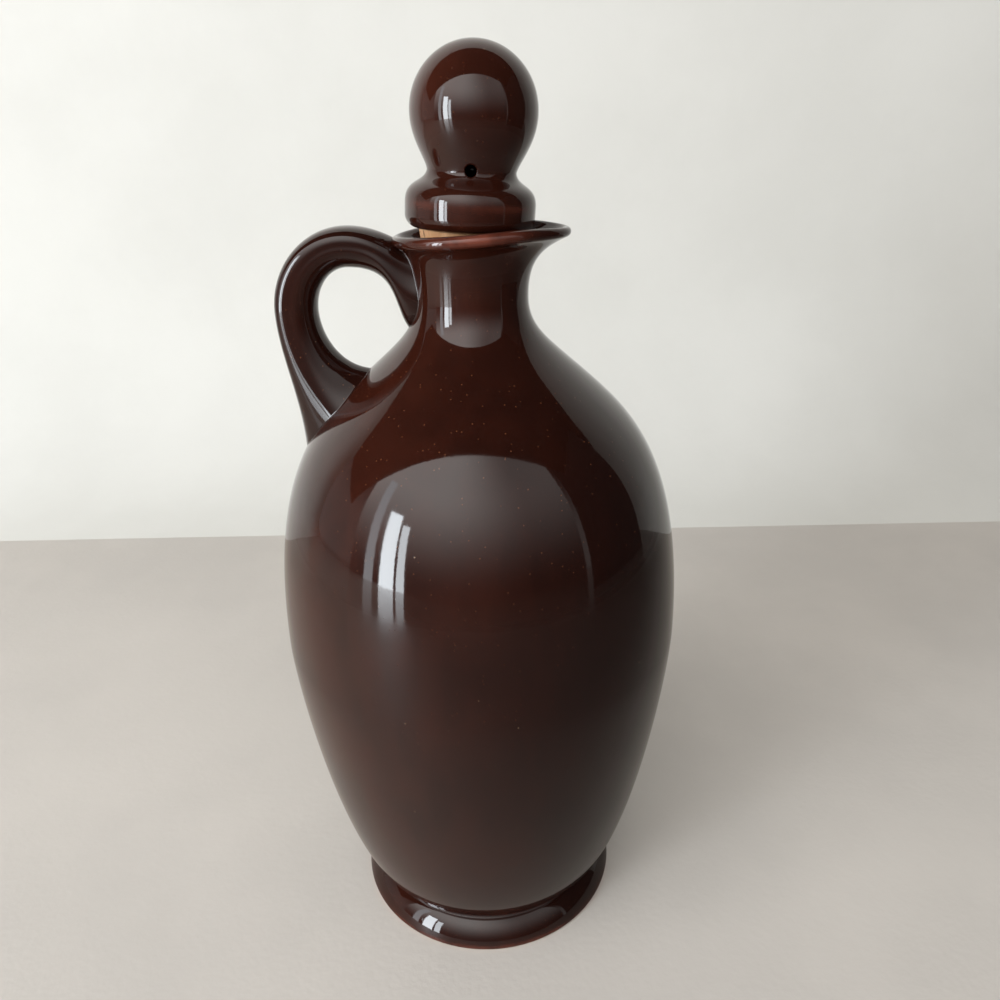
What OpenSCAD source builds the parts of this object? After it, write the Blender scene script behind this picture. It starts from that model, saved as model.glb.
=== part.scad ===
// Stoneware decanter with a loop handle, a pouring lip and a corked ball stopper.
// Millimetres. The vessel stands on z = 0 on its axis, the spout points to +X and the handle to -X.

/* [Foot ring] */
// Radius of the foot at its widest, just above the table
foot_r = 36.2; // [34:0.2:38]
// Height of the foot up to the crease under the belly
foot_h = 7; // [6:0.1:8]
// How far the foot's rounded face runs in, from its widest line to the crease
foot_w = 4.8; // [4:0.1:5.6]
// Rounding of the foot's lower edge
foot_round = 0.8; // [0.4:0.1:1.2]
// Width of the bare ring that stands on the table
land_w = 5; // [3.5:0.5:6.5]

/* [Belly] */
// Radius of the belly at its widest line
belly_r = 50.1; // [47:0.1:53]
// Height of the widest line
belly_z = 85.7; // [78:0.1:94]
// Lean of the flank, from upright, where it leaves the foot
flank_angle = 51; // [46:0.5:56]
// Reach of the flank's curve at the foot
flank_low = 15; // [12:0.2:19]
// Reach of the flank's curve below the widest line
flank_high = 12.2; // [8:0.2:20]
// Reach of the shoulder's curve above the widest line
shoulder_low = 39.8; // [34:0.2:46]
// Thickness of the wall
wall = 4; // [3:0.25:4.75]
// Thickness of the base
base_t = 4.5; // [4:0.25:6]
// Rounding between the wall and the base inside
floor_round = 2.7; // [1.5:0.1:3.5]
// Rounding of the recess under the base
recess_round = 2; // [1:0.25:3]

/* [Shoulder and neck] */
// Radius where the swelling shoulder turns into the hollow sweep of the neck
shoulder_r = 30; // [27:0.2:32]
// Height of that turning line
shoulder_z = 146.3; // [143:0.1:150]
// Lean of the shoulder, from upright, at that line
shoulder_angle = 47.4; // [42:0.2:54]
// Reach of the curve below that line
shoulder_high = 13.4; // [10:0.2:18]
// Reach of the curve above that line
neck_low = 16.2; // [12:0.2:19]
// Reach of the curve just below the narrowest line
neck_high = 8; // [5:0.2:10]
// Radius of the neck at its narrowest line
neck_r = 12.9; // [12.3:0.1:14]
// Height of the narrowest line
neck_z = 167.8; // [165:0.1:170]

/* [Lip and spout] */
// Height of the middle of the rolled rim
lip_z = 181.1; // [178:0.1:184]
// Reach of the lip from the axis
lip_r = 17.3; // [16.4:0.1:18.5]
// Reach of the spout from the axis
spout_r = 22.3; // [19:0.1:25]
// Half width of the spout, as an angle round the axis
spout_spread = 34; // [20:1:44]
// Drop of the spout's tip below the rim
spout_drop = 1; // [0:0.1:1.5]
// Radius of the rolled rim
bead_r = 1.4; // [1:0.1:1.8]
// Radius of the rim at the spout's tip and beside the handle
end_bead_r = 1; // [0.8:0.1:1.8]
// Tilt of the rim, upwards to the spout
lip_tilt = 3.5; // [0:0.1:5]
// Rise of the neck before it flares into the lip
flare_rise = 8.5; // [6:0.5:11]
// Depth of the funnel inside the lip
funnel_h = 4; // [3:0.25:5.5]

/* [Handle] */
// Height of the handle's top edge
handle_top_z = 183.5; // [181:0.1:187]
// Distance of the handle's top from the axis
handle_top_x = 27.4; // [25:0.1:30]
// Reach of the handle's outer edge from the axis
handle_reach = 45.2; // [42:0.1:48]
// Height of the handle's outermost line
handle_side_z = 165; // [162:0.1:168]
// Thickness of the handle at its top
handle_top_t = 8.9; // [7:0.1:10]
// Thickness of the handle at its outermost line
handle_side_t = 10.1; // [8.5:0.1:12]
// How far below the rim's middle the handle's upper edge leaves the neck
handle_tuck = 3.7; // [3.3:0.1:4.5]
// Half width of the handle where it leaves the neck
handle_neck_w = 5.7; // [4.5:0.1:6.2]
// Half width of the handle at its outermost line
handle_side_w = 5.8; // [5:0.1:7]
// Half width of the handle where it spreads on the shoulder
handle_foot_w = 7.2; // [6:0.1:9]
// Depth of the groove along each side of the handle
groove = 0.5; // [0:0.1:0.8]
// Depth of the groove at the handle's two ends
groove_end = 1; // [0:0.1:1.2]
// Height of the drop that ends the handle on the neck
drop_z = 159.6; // [157:0.1:162]
// Height of the handle's lowest point on the shoulder
handle_foot_z = 130.9; // [128:0.1:134]
// Height of the crotch between handle and shoulder
crotch_z = 151.4; // [149:0.1:154]
// Bed of slip between the handle and the vessel
slip_gap = 0.1; // [0.05:0.05:0.2]

/* [Knob] */
// Radius of the ball
ball_r = 13.5; // [12:0.1:15]
// Height of the ball's middle above the collar's underside
ball_z = 23.2; // [21:0.1:26]
// Radius of the waist
waist_r = 9.6; // [8.8:0.1:10.5]
// Height of the waist above the collar's underside
waist_z = 11.7; // [10.5:0.1:13]
// Radius of the collar
collar_r = 14.2; // [13:0.1:15]
// Height of the collar's upright face
collar_h = 5.2; // [4:0.1:6.5]
// Rounding of the collar's lower edge
collar_round = 2.6; // [1:0.1:3]
// Thickness of the knob's wall
knob_wall = 3; // [2:0.25:3.75]
// Radius of the vent hole through the front of the waist
vent_r = 1.2; // [0.8:0.1:1.6]
// Height of the vent hole above the waist's narrowest line
vent_rise = 0.4; // [0.2:0.1:0.8]
// How far the collar's underside sits below the level of the rim
collar_sink = 0.3; // [0:0.1:0.5]
// Lean of the knob on its cork, towards the spout
knob_lean = 4.1; // [0:0.1:4.5]

/* [Cork] */
// Radius of the cork under the collar
cork_top_r = 11; // [10.4:0.1:11.4]
// Radius of the cork's lower end
cork_tip_r = 9.2; // [8.4:0.1:9.6]
// Length of the cork below the collar
cork_h = 18; // [12:0.5:20]
// Radius of the tenon that is glued into the knob
tenon_r = 9.2; // [8:0.1:10]
// Height of the tenon
tenon_h = 4.8; // [3:0.1:5.5]
// Bevel of the cork's lower edge
cork_bevel = 0.6; // [0.2:0.1:1]
// Clearance between the cork and the neck
cork_gap = 0.25; // [0.15:0.05:0.4]
// Glue line round the tenon
glue_gap = 0.1; // [0.05:0.05:0.2]

/* [Hidden] */
$fn = 96;
glaze_colour = [0.17, 0.085, 0.06];
cork_colour = [0.74, 0.54, 0.36];

// Steps along one curve of a turned outline
curve_steps = 12;
// Steps round a small rounded edge
edge_steps = 5;
// Lean of the foot's face, from upright, at its lower edge and at the crease, and its arms there
face_low_angle = 18;
face_high_angle = 66;
face_low_arm = 2.6;
face_high_arm = 2.4;
// Facets round the lip, and steps along its flare, rim and funnel
lip_sides = 60;
flare_steps = 7;
bead_steps = 6;
funnel_steps = 4;
// Angles on the rim's section where the flare ends and the funnel starts
bead_from = -66;
bead_to = 140;
// Pull of the flare's curve under the rim, as a share of its overhang
flare_pull = 0.58;
// Arms that bend the funnel at the rim and at the throat
funnel_rim_arm = 2;
funnel_throat_arm = [2, 1];
// How far the funnel runs past the throat's wall before the throat is bored
funnel_lap = 1.2;
// Step that keeps the lip's facets just inside the turned neck
seam = 0.06;
// How far the lip reaches down into the turned neck
lip_lap = 1.3;
// How far a cutting shape runs past what it cuts
past = 6;
// Rings along one span of the handle, and points round a ring
span_steps = 12;
ring_points = 30;
// Squareness of the handle's section, 1 for a plain oval
section_power = 0.86;
// Place of the groove at the neck, the top, the side and the shoulder: 0 in mid strap, 1 at the outer edge
groove_places = [0.4, 0.16, 0.14, 0.02];
// Width of the groove as a share of the handle's half thickness
groove_spread = 0.24;
// How far the handle's ends run into the vessel before they are trimmed
neck_depth = 4.6;
tuck_depth = 1.5;
crotch_depth = 2.4;
foot_depth = 1;
// Arms that bend the handle's outer edge at the neck, the top, the side and the shoulder
out_neck_arm = [4.4, 3];
out_top_arm = 6.4;
out_side_arm = 10.2;
out_foot_arm = 13.5;
// Arms that bend its inner edge at the neck, the top, the side and the shoulder
in_neck_arm = [8.4, -0.3];
in_top_arm = 15;
in_side_arm = 6.4;
in_foot_arm = [8.6, -0.6];
// Arms that bend the knob's outline at the collar, the waist and the ball
collar_arm = 4.5;
collar_sweep = [0.5, 3.9];
waist_arm = [0.2, 2];
bulb_arm = 5.7;
// Arm length that makes a curve round off a quarter of an oval
oval = 0.5523;

crease_r = foot_r - foot_w;
crease_z = foot_h;
cavity_start = [crease_r - wall * cos(flank_angle), crease_z + wall * sin(flank_angle)];
floor_z = cavity_start[1] - floor_round;
recess_h = floor_z - base_t;
rim_z = lip_z + bead_r;
seat_z = rim_z - collar_sink;
tip_z = seat_z - cork_h;
mouth_z = lip_z - funnel_h;

// Point on a curve with two end points and two pull points
function bend(a, b, c, d, t) =
    pow(1 - t, 3) * a + 3 * t * pow(1 - t, 2) * b + 3 * t * t * (1 - t) * c + pow(t, 3) * d;
// Points of such a curve, without its first point
function curve(a, b, c, d, steps) = [for (i = [1:steps]) bend(a, b, c, d, i / steps)];
// Point on a quarter of an oval that starts level and ends upright
function quarter(a, b, t) =
    bend(a, a + [oval * (b - a)[0], 0], b - [0, oval * (b - a)[1]], b, t);
// Points of a round edge
function arc(centre, r, from, to, steps) =
    [for (i = [0:steps]) let (a = from + (to - from) * i / steps) centre + r * [cos(a), sin(a)]];
// Unit step across an outline, towards its axis, at point i
function inward(points, i) =
    let (
        before = points[max(i - 1, 0)],
        after = points[min(i + 1, len(points) - 1)],
        along = after - before
    )
    [-along[1], along[0]] / norm(along);
// Outline moved towards its axis
function inset(points, depth) = [for (i = [0:len(points) - 1]) points[i] + depth * inward(points, i)];
// Point of an outline turned round the axis by an angle
function around(p, a) = [p[0] * cos(a), p[0] * sin(a), p[1]];
// Middle of a ring of points
function middle_of(ring) =
    [for (axis = [0:2]) [for (p = ring) p[axis]] * [for (p = ring) 1 / len(ring)]];

// Outlines of the vessel: radius and height
flank_lean = [sin(flank_angle), cos(flank_angle)];
shoulder_lean = [-sin(shoulder_angle), cos(shoulder_angle)];
crease = [crease_r, crease_z];
widest = [belly_r, belly_z];
turning = [shoulder_r, shoulder_z];
narrowest = [neck_r, neck_z];
foot_edge = arc([foot_r - foot_round, foot_round], foot_round, -90, face_low_angle, edge_steps);
face_low = foot_edge[edge_steps] + face_low_arm * [-sin(face_low_angle), cos(face_low_angle)];
face_high = crease - face_high_arm * [-sin(face_high_angle), cos(face_high_angle)];
// The face ends just before the crease, where the body's outline starts
foot_points = concat(
    foot_edge,
    [for (i = [1:curve_steps - 1]) bend(foot_edge[edge_steps], face_low, face_high, crease, i / curve_steps)]
);
body_points = concat(
    [crease],
    curve(crease, crease + flank_low * flank_lean, widest - [0, flank_high], widest, curve_steps),
    curve(widest, widest + [0, shoulder_low], turning - shoulder_high * shoulder_lean, turning, curve_steps),
    curve(turning, turning + neck_low * shoulder_lean, narrowest - [0, neck_high], narrowest, curve_steps)
);
outer_points = concat(foot_points, body_points);
// Radius of the body at a height
function body_r(z) = lookup(z, [for (p = body_points) [p[1], p[0]]]);
cavity_points = inset(body_points, wall);

// Radius of the cork at a height, and of the neck around it
function cork_r(z) = cork_tip_r + (cork_top_r - cork_tip_r) * (z - tip_z) / (seat_z - tip_z);
function throat_r(z) = cork_r(z) + cork_gap;

// Lip: share of the spout's pull at an angle from the spout, and the section there
function pull(a) = exp(-pow(a / spout_spread, 2));
function lip_section(a, grow) =
    let (
        reach = lip_r + (spout_r - lip_r) * pull(a),
        edge_r = bead_r + (end_bead_r - bead_r) * (pull(a) + pull(180 - abs(a))),
        out = reach - edge_r,
        centre = [out, lip_z - spout_drop * pull(a) + out * cos(a) * tan(lip_tilt)],
        bead = arc(centre, edge_r + grow, bead_from, bead_to, bead_steps),
        start = [neck_r - seam + grow, neck_z],
        root = start - [0, lip_lap],
        under = bead[0] - flare_pull * (reach - neck_r) * [-sin(bead_from), cos(bead_from)],
        over = bead[bead_steps] + funnel_rim_arm * [-sin(bead_to), cos(bead_to)],
        end = [throat_r(mouth_z) - funnel_lap, mouth_z]
    )
    concat(
        [root, start],
        curve(start, start + [0, flare_rise], under, bead[0], flare_steps),
        [for (i = [1:bead_steps]) bead[i]],
        curve(bead[bead_steps], over, end + funnel_throat_arm, end, funnel_steps)
    );

// Solid through rings of equally many points, closed by a fan at each end
module loft(rings) {
    n = len(rings[0]);
    m = len(rings);
    points = [for (ring = rings) each ring];
    ends = [middle_of(rings[0]), middle_of(rings[m - 1])];
    sides = [
        for (k = [0:m - 2], i = [0:n - 1])
            let (j = (i + 1) % n, a = k * n + i, b = k * n + j)
            each [[a, a + n, b], [b, a + n, b + n]]
    ];
    first = [for (i = [0:n - 1]) [m * n, i, (i + 1) % n]];
    last = [for (i = [0:n - 1]) [m * n + 1, (m - 1) * n + (i + 1) % n, (m - 1) * n + i]];
    polyhedron(concat(points, ends), concat(sides, first, last));
}

module lip(grow = 0) {
    angles = [for (i = [0:lip_sides - 1]) 360 * i / lip_sides];
    sections = [for (a = angles) lip_section(a > 180 ? a - 360 : a, grow)];
    loft([
        for (k = [0:len(sections[0]) - 1])
            [for (i = [0:lip_sides - 1]) around(sections[i][k], angles[i])]
    ]);
}

// Outside of the vessel as one solid, grown sideways by a gap where something is fitted to it
module vessel_outside(grow = 0) {
    rotate_extrude()
        polygon(concat([[0, 0]], [for (p = outer_points) p + [grow, 0]], [[0, neck_z]]));
    lip(grow);
}

module vessel() {
    color(glaze_colour)
        difference() {
            vessel_outside();
            hollow();
            base_recess();
        }
}

// Hollow belly, and the tapered bore that the cork sits in, up to above the rim
module hollow() {
    floor_edge = [cavity_start[0] - floor_round, floor_z];
    high = rim_z + past;
    rotate_extrude()
        polygon(concat(
            [[0, floor_z], floor_edge],
            [for (p = cavity_points) if (p[1] < tip_z && p[0] > throat_r(p[1])) p],
            [[throat_r(tip_z), tip_z], [throat_r(high), high], [0, high]]
        ));
}

module base_recess() {
    r = foot_r - foot_round - land_w;
    corner = min(recess_round, recess_h);
    rotate_extrude()
        polygon(concat(
            [[0, -past], [r, -past]],
            arc([r - corner, recess_h - corner], corner, 0, 90, edge_steps),
            [[0, recess_h]]
        ));
}

// Edges of the handle in the upright plane: distance from the axis and height
top_out = [handle_top_x, handle_top_z];
top_in = [handle_top_x, handle_top_z - handle_top_t];
side_out = [handle_reach, handle_side_z];
side_in = [handle_reach - handle_side_t, handle_side_z];
neck_out = [neck_r - tuck_depth, lip_z - handle_tuck];
neck_in = [body_r(drop_z) - neck_depth, drop_z];
foot_out = [body_r(handle_foot_z) - foot_depth, handle_foot_z];
foot_in = [body_r(crotch_z) - crotch_depth, crotch_z];

// Spans 0 to 2 run from the neck to the top, on to the side, and down to the shoulder
function outer_edge(span, t) =
    span == 0 ? bend(neck_out, neck_out + out_neck_arm, top_out - [out_top_arm, 0], top_out, t)
    : span == 1 ? quarter(top_out, side_out, t)
    : bend(side_out, side_out - [0, out_side_arm], foot_out + [0, out_foot_arm], foot_out, t);

function inner_edge(span, t) =
    span == 0 ? bend(neck_in, neck_in + in_neck_arm, top_in - [in_top_arm, 0], top_in, t)
    : span == 1 ? quarter(top_in, side_in, t)
    : bend(side_in, side_in - [0, in_side_arm], foot_in + in_foot_arm, foot_in, t);

// Half widths and groove depths at the neck, the top, the side and the shoulder
half_widths = [handle_neck_w, (handle_neck_w + handle_side_w) / 2, handle_side_w, handle_foot_w];
groove_depths = [groove_end, groove, groove, groove_end];
// Value along a span, eased between its values at the span's ends
function eased(values, span, t) =
    let (s = t * t * (3 - 2 * t))
    values[span] * (1 - s) + values[span + 1] * s;

// One ring of the handle: an oval between its two edges, with a groove along each side
function handle_ring(span, t) =
    let (
        inner = inner_edge(span, t),
        outer = outer_edge(span, t),
        middle = (inner + outer) / 2,
        half = (outer - inner) / 2,
        w = eased(half_widths, span, t),
        place = eased(groove_places, span, t),
        depth = eased(groove_depths, span, t)
    )
    [
        for (i = [0:ring_points - 1])
            let (
                a = 360 * i / ring_points,
                c = sign(cos(a)) * pow(abs(cos(a)), section_power),
                s = sign(sin(a)) * pow(abs(sin(a)), section_power),
                dip = depth * exp(-pow((c - place) / groove_spread, 2)),
                p = middle + c * half
            )
            [-p[0], s * (w - dip), p[1]]
    ];

module handle() {
    color(glaze_colour)
        difference() {
            loft([for (span = [0:2], i = [span == 0 ? 0 : 1:span_steps]) handle_ring(span, i / span_steps)]);
            vessel_outside(slip_gap);
        }
}

// Places a stopper piece on the cork's seat, with the knob's lean
module on_seat() {
    translate([0, 0, seat_z])
        rotate([0, knob_lean, 0])
            children();
}

waist = [waist_r, waist_z];
equator = [ball_r, ball_z];
collar_top = [collar_r, collar_h];
bulb_points = concat(
    curve(waist, waist + waist_arm, equator - [0, bulb_arm], equator, curve_steps),
    arc([0, ball_z], ball_r, 90 / curve_steps, 90, curve_steps - 1)
);
knob_points = concat(
    arc([collar_r - collar_round, collar_round], collar_round, -90, 0, edge_steps),
    [collar_top],
    curve(collar_top, collar_top + [0, collar_arm], [waist_r, collar_h] + collar_sweep, waist, curve_steps),
    bulb_points
);

module knob() {
    socket_r = tenon_r + glue_gap;
    socket_h = tenon_h + glue_gap;
    hollow = [for (p = inset(concat([waist], bulb_points), knob_wall)) [max(p[0], 0), p[1]]];
    color(glaze_colour)
        on_seat()
            difference() {
                rotate_extrude()
                    polygon(concat([[0, 0]], knob_points));
                rotate_extrude()
                    polygon(concat([[0, -past], [socket_r, -past], [socket_r, socket_h]], hollow));
                translate([0, 0, waist_z + vent_rise])
                    rotate([90, 0, 0])
                        cylinder(r = vent_r, h = waist_r + past);
            }
}

module cork() {
    wide = 2 * cork_top_r + past;
    color(cork_colour) {
        difference() {
            rotate_extrude()
                polygon([
                    [0, tip_z],
                    [cork_r(tip_z) - cork_bevel, tip_z],
                    [cork_r(tip_z + cork_bevel), tip_z + cork_bevel],
                    [cork_r(seat_z + past), seat_z + past],
                    [0, seat_z + past]
                ]);
            on_seat()
                translate([-wide / 2, -wide / 2, -glue_gap])
                    cube([wide, wide, 2 * past]);
        }
        on_seat()
            translate([0, 0, -2 * glue_gap])
                cylinder(r = tenon_r, h = tenon_h + 2 * glue_gap);
    }
}

vessel();
handle();
knob();
cork();
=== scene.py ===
"""Looks of a glazed stoneware decanter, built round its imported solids.

Sizes are in millimetres, in the frame of the solids, until a mesh is made.
"""

import math

import bpy
import mathutils
import numpy as np
from mathutils import Matrix, Vector


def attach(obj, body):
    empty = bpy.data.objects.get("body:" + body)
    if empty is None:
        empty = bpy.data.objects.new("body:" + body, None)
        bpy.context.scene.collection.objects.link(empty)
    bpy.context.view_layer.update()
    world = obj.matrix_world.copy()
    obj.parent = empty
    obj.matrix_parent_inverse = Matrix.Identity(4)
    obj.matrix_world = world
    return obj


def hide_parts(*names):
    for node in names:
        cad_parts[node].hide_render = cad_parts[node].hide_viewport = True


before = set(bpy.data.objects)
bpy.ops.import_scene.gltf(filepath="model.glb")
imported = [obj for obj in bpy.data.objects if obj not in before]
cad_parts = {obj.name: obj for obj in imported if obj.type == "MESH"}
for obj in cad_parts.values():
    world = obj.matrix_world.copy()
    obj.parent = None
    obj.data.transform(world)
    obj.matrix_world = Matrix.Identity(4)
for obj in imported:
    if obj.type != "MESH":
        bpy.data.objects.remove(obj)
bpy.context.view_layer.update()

MM = 0.001

# Foot ring
FOOT_R = 36.2
FOOT_H = 7
FOOT_W = 4.8
FOOT_ROUND = 0.8
FACE_LOW_ANGLE = 18
FACE_HIGH_ANGLE = 66
FACE_LOW_ARM = 2.6
FACE_HIGH_ARM = 2.4
LAND_W = 5
LAND_ROUND = 0.5
CREASE_ROUND = 0.5
# Bare clay underneath: height it reaches, how softly it ends, and its reach inwards of the ring
BARE_H = 0.15
BARE_FADE = 0.35
BARE_IN = 0.6
# Thin glaze on the foot's lower edge: its height, spread and share
FOOT_THIN_Z = 0.5
FOOT_THIN_SPREAD = 0.9
FOOT_THIN = 0.6

# Belly
BELLY_R = 50.1
BELLY_Z = 85.7
FLANK_ANGLE = 51
FLANK_LOW = 15
FLANK_HIGH = 12.2
SHOULDER_LOW = 39.8
WALL = 4
BASE_T = 4.5
FLOOR_ROUND = 2.7
# How far the corner of the hollow's floor is drawn in
FLOOR_DRAW = 0.4
RECESS_ROUND = 2

# Shoulder and neck
SHOULDER_R = 30
SHOULDER_Z = 146.3
SHOULDER_ANGLE = 47.4
SHOULDER_HIGH = 13.4
NECK_LOW = 16.2
NECK_HIGH = 8
NECK_R = 12.9
NECK_Z = 167.8

# Lip and spout
LIP_Z = 181.1
LIP_R = 17.3
SPOUT_R = 22.3
SPOUT_SPREAD = 34
SPOUT_DROP = 1
BEAD_R = 1.4
END_BEAD_R = 1
LIP_TILT = 3.5
FLARE_RISE = 8.5
FLARE_PULL = 0.58
FUNNEL_H = 4
BEAD_FROM = -66
BEAD_TO = 140
FUNNEL_RIM_ARM = 2
FUNNEL_THROAT_ARM = np.array([2, 1])
# Where the glaze runs thin on the rim: angle from the spout to both sides and its spread,
# then angle round the rolled edge and its spread
WORN_MIDDLE = 86
WORN_SPREAD = 29
WORN_TURN = 20
WORN_TURN_SPREAD = 62

# Handle
HANDLE_TOP = np.array([27.4, 183.4])
HANDLE_TOP_T = 8.8
HANDLE_SIDE = np.array([44.5, 165])
HANDLE_SIDE_T = 9.4
HANDLE_TUCK = 3.7
DROP_Z = 159.6
HANDLE_FOOT_Z = 130.9
CROTCH_Z = 151.4
TUCK_DEPTH = 1.5
NECK_DEPTH = 4.6
CROTCH_DEPTH = 2.4
FOOT_DEPTH = 1
# Strap's section at the neck, top, side and shoulder: how flat its broad faces run towards its outer
# side, and how flat that side is, where 2 is round
ROUND = 2
BROAD_FLAT = [2.6, 5, 7, 4.5]
OUTER_FLAT = [2, 2.2, 2.2, 2]
# Fall of the broad faces towards the outer side: where it starts across the strap, from -1 at the inner
# side to 1 at the outer side, its slope, and how softly it starts
FALL_STARTS = [0.4, 0.35, 0.3, 0.08]
FALL_SLOPES = [0.1, 0.2, 0.2, 0.27]
FALL_SOFT = 0.12
# Pull of a quarter of an oval, as a share of its half axes
OVAL = 0.5523
# At the same four places: half width, and the groove's place, depth and width across the strap
HALF_WIDTHS = [5.7, 5.75, 5.8, 6]
GROOVE_PLACES = [0.4, 0.16, 0.14, 0.02]
GROOVE_DEPTHS = [0.8, 0.1, 0.08, 0]
GROOVE_WIDTHS = [0.24, 0.2, 0.2, 0.26]
# Flare of the strap from its side down to the shoulder, and the places across it where that sets in
SIDE_U = 2
ROOT_FLARE = 3.2
ROOT_REACH = (-1.1, -0.1)
# Bead of slip where the strap meets the vessel: its rounding, and how deep it is buried
SLIP_ROUND = 0.3
SLIP_BURIED = 0.06
# Pull points of the handle's outer and inner line, as steps from their end points
NECK_OUT_PULL = np.array([4.4, 3])
TOP_OUT_PULL = np.array([-6.4, 0])
SIDE_OUT_PULL = np.array([0, -10.2])
FOOT_OUT_PULL = np.array([-0.6, 13.5])
NECK_IN_PULL = np.array([8.4, -0.3])
TOP_IN_PULL = np.array([-15, 0])
SIDE_IN_PULL = np.array([0, -6.4])
FOOT_IN_PULL = np.array([8.6, -0.6])
# Search for where the strap leaves the vessel: first and last place along it, and steps
STRAP_ENDS = (-0.05, 3.02)
STRAP_STEPS = 1400
# How closely the rings crowd towards both ends
CROWDING = 0.96
# Thinner glaze along the outer side: share, and spread
CREST_THIN = 0.1
CREST_SPREAD = 0.12
# Step in height over which the slope of the vessel's wall is taken
SLOPE_STEP = 0.2

# Knob
BALL_R = 13.47
BALL_Z = 23.2
# Angle at which the ball's outline ends, just short of its axis
BALL_END = 88
WAIST_R = 9.6
WAIST_Z = 11.7
COLLAR_R = 14.2
COLLAR_H = 5.2
COLLAR_ROUND = 2.6
COLLAR_ARM = 4.5
COLLAR_SWEEP = np.array([0.5, 3.9])
WAIST_ARM = np.array([0.2, 2])
BULB_ARM = 5.7
KNOB_WALL = 3
VENT_R = 1.2
VENT_RISE = 0.4
VENT_ROUND = 0.3
VENT_WINDOW = 3
# Shares of the way from the cut window to the vent at which its outer rings lie
VENT_SHARES = (0.3, 0.6, 0.85)
COLLAR_SINK = 0.3
KNOB_LEAN = 4.1
# Thin glaze on the collar's upper edge: spread across, spread up, and share
COLLAR_THIN_R = 0.5
COLLAR_THIN_Z = 0.7
COLLAR_THIN = 0.25

# Cork
CORK_TOP_R = 11
CORK_TIP_R = 9.2
CORK_H = 18
TENON_R = 9.2
TENON_H = 4.8
CORK_BEVEL = 0.6
CORK_GAP = 0.25
GLUE_GAP = 0.1
# Rounds in which the height of the top edge settles under the leaning collar
SEAT_ROUNDS = 4
# Pits, fine and coarse: waves per millimetre across and along, shift, and level where a pit starts
PIT_DEPTH = 0.5
PITS = [(0.9, 0.35, 0, 0.18), (0.35, 0.2, 7, 0.3)]

# Camera, in metres and degrees
LENS = 29.245
CAMERA_PLACE = (0.005484, -0.187, 0.200231)
CAMERA_DOWN = 24
CAMERA_TIP = -1.126
CLIP_START = 0.01

# Stage, in metres
FLOOR_REACH = 1.6
BACKDROP_Y = 0.34
BACKDROP_TOP = 1.0
BACKDROP_HALF = 1.6
COVE_R = 0.12

# Light, in metres and degrees: azimuth from the front, positive to the right, and elevation
LIT_MIDDLE = (0, 0, 0.12)
PANEL_AWAY = 1.15
PANEL_SPAN = (-72, 60)
PANEL_HEIGHTS = (-7, 74)
PANEL_STRENGTH = 3.0
PANEL_COLOUR = (1, 0.985, 0.96)
# Glow of the front panel: where it rises from dim below to full above, and where it falls off rightwards
PANEL_RISE = (-4, 42)
PANEL_DIM = 0.06
PANEL_FALL = (-25, 35)
PANEL_RIGHT = 0.3
WINDOW_AWAY = 1.1
WINDOW_COLOUR = (0.88, 0.95, 1)
# Name, left and right azimuth, lower and upper elevation, strength
WINDOWS = [
    ("window_left", -63, -57.5, -6.5, 38, 4),
    ("window_main", -53.5, -45, -6.5, 25, 19),
    ("window_side", -43.5, -39, -6.5, 21, 13),
]
# World: colour, heights of the direction of view between which it fades, and strength at both
WORLD_COLOUR = (1, 0.98, 0.95)
WORLD_FADE = (0.2, 0.75, 0.5, 0.04)
# Black flags that keep the glaze dark from above and from the right
TOP_FLAG = [(-0.227, 0.575), (BACKDROP_Y, BACKDROP_TOP)]
TOP_FLAG_HALF = 1.6
SIDE_FLAG_SPAN = (62, 101)
SIDE_FLAG_AWAY = 0.6
SIDE_FLAG_TOP = 0.7
# Dim sheet that the glaze sees in place of the bright floor, with painted shade: darker in front, where
# the floor lies in shade towards the camera, and to the right, in the object's own shadow
SHEET_Z = 0.0005
SHEET_SHIFT = -0.9
SHEET_FADE = (-0.25, 0.1)
# Distances between which the sheet turns from dull to polished, and its roughness at both
SHEET_POLISH = (0.28, 0.55, 0.5, 0.1)

# Fineness of the meshes
SIDES = 192
KNOB_SIDES = 144
HANDLE_SIDES = 96
HANDLE_RINGS = 150
CURVE_STEPS = 40
FLARE_STEPS = 20
CORK_STEPS = 120
EDGE_STEPS = 8
FLAT_STEPS = 4
PANEL_STEPS = 25
# Radius of the innermost ring of a flat end, which a fan of triangles closes
FAN_R = 4
TINY = 1e-9

# Unevenness of the hand-finished pot, always inwards of the true line; then its waves: how many round
# the pot, millimetres of height for each radian, and shift in radians
UNEVEN = 0.07
WAVES = [(2, 31, 0.9), (3, -23, -1.7), (2, 9, 0)]

CREASE_R = FOOT_R - FOOT_W
CREASE_Z = FOOT_H
RIM_Z = LIP_Z + BEAD_R
SEAT_Z = RIM_Z - COLLAR_SINK
TIP_Z = SEAT_Z - CORK_H
MOUTH_Z = LIP_Z - FUNNEL_H


def direction(angle):
    """Unit step in an upright plane, leaning outwards by an angle from upright."""
    lean = math.radians(angle)
    return np.array([math.sin(lean), math.cos(lean)])


def bend(a, b, c, d, t):
    """Points on a curve with two end points and two pull points."""
    a, b, c, d = (np.asarray(p, float) for p in (a, b, c, d))
    t = np.asarray(t, float)[..., None]
    return (1 - t) ** 3 * a + 3 * t * (1 - t) ** 2 * b + 3 * t**2 * (1 - t) * c + t**3 * d


def curve(a, b, c, d, steps=CURVE_STEPS):
    """Points of such a curve, without its first point."""
    return bend(a, b, c, d, np.arange(1, steps + 1) / steps)


def line(a, b, steps=FLAT_STEPS):
    """Points of a straight stretch, without its first point."""
    t = np.arange(1, steps + 1)[:, None] / steps
    return np.asarray(a, float) * (1 - t) + np.asarray(b, float) * t


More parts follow.
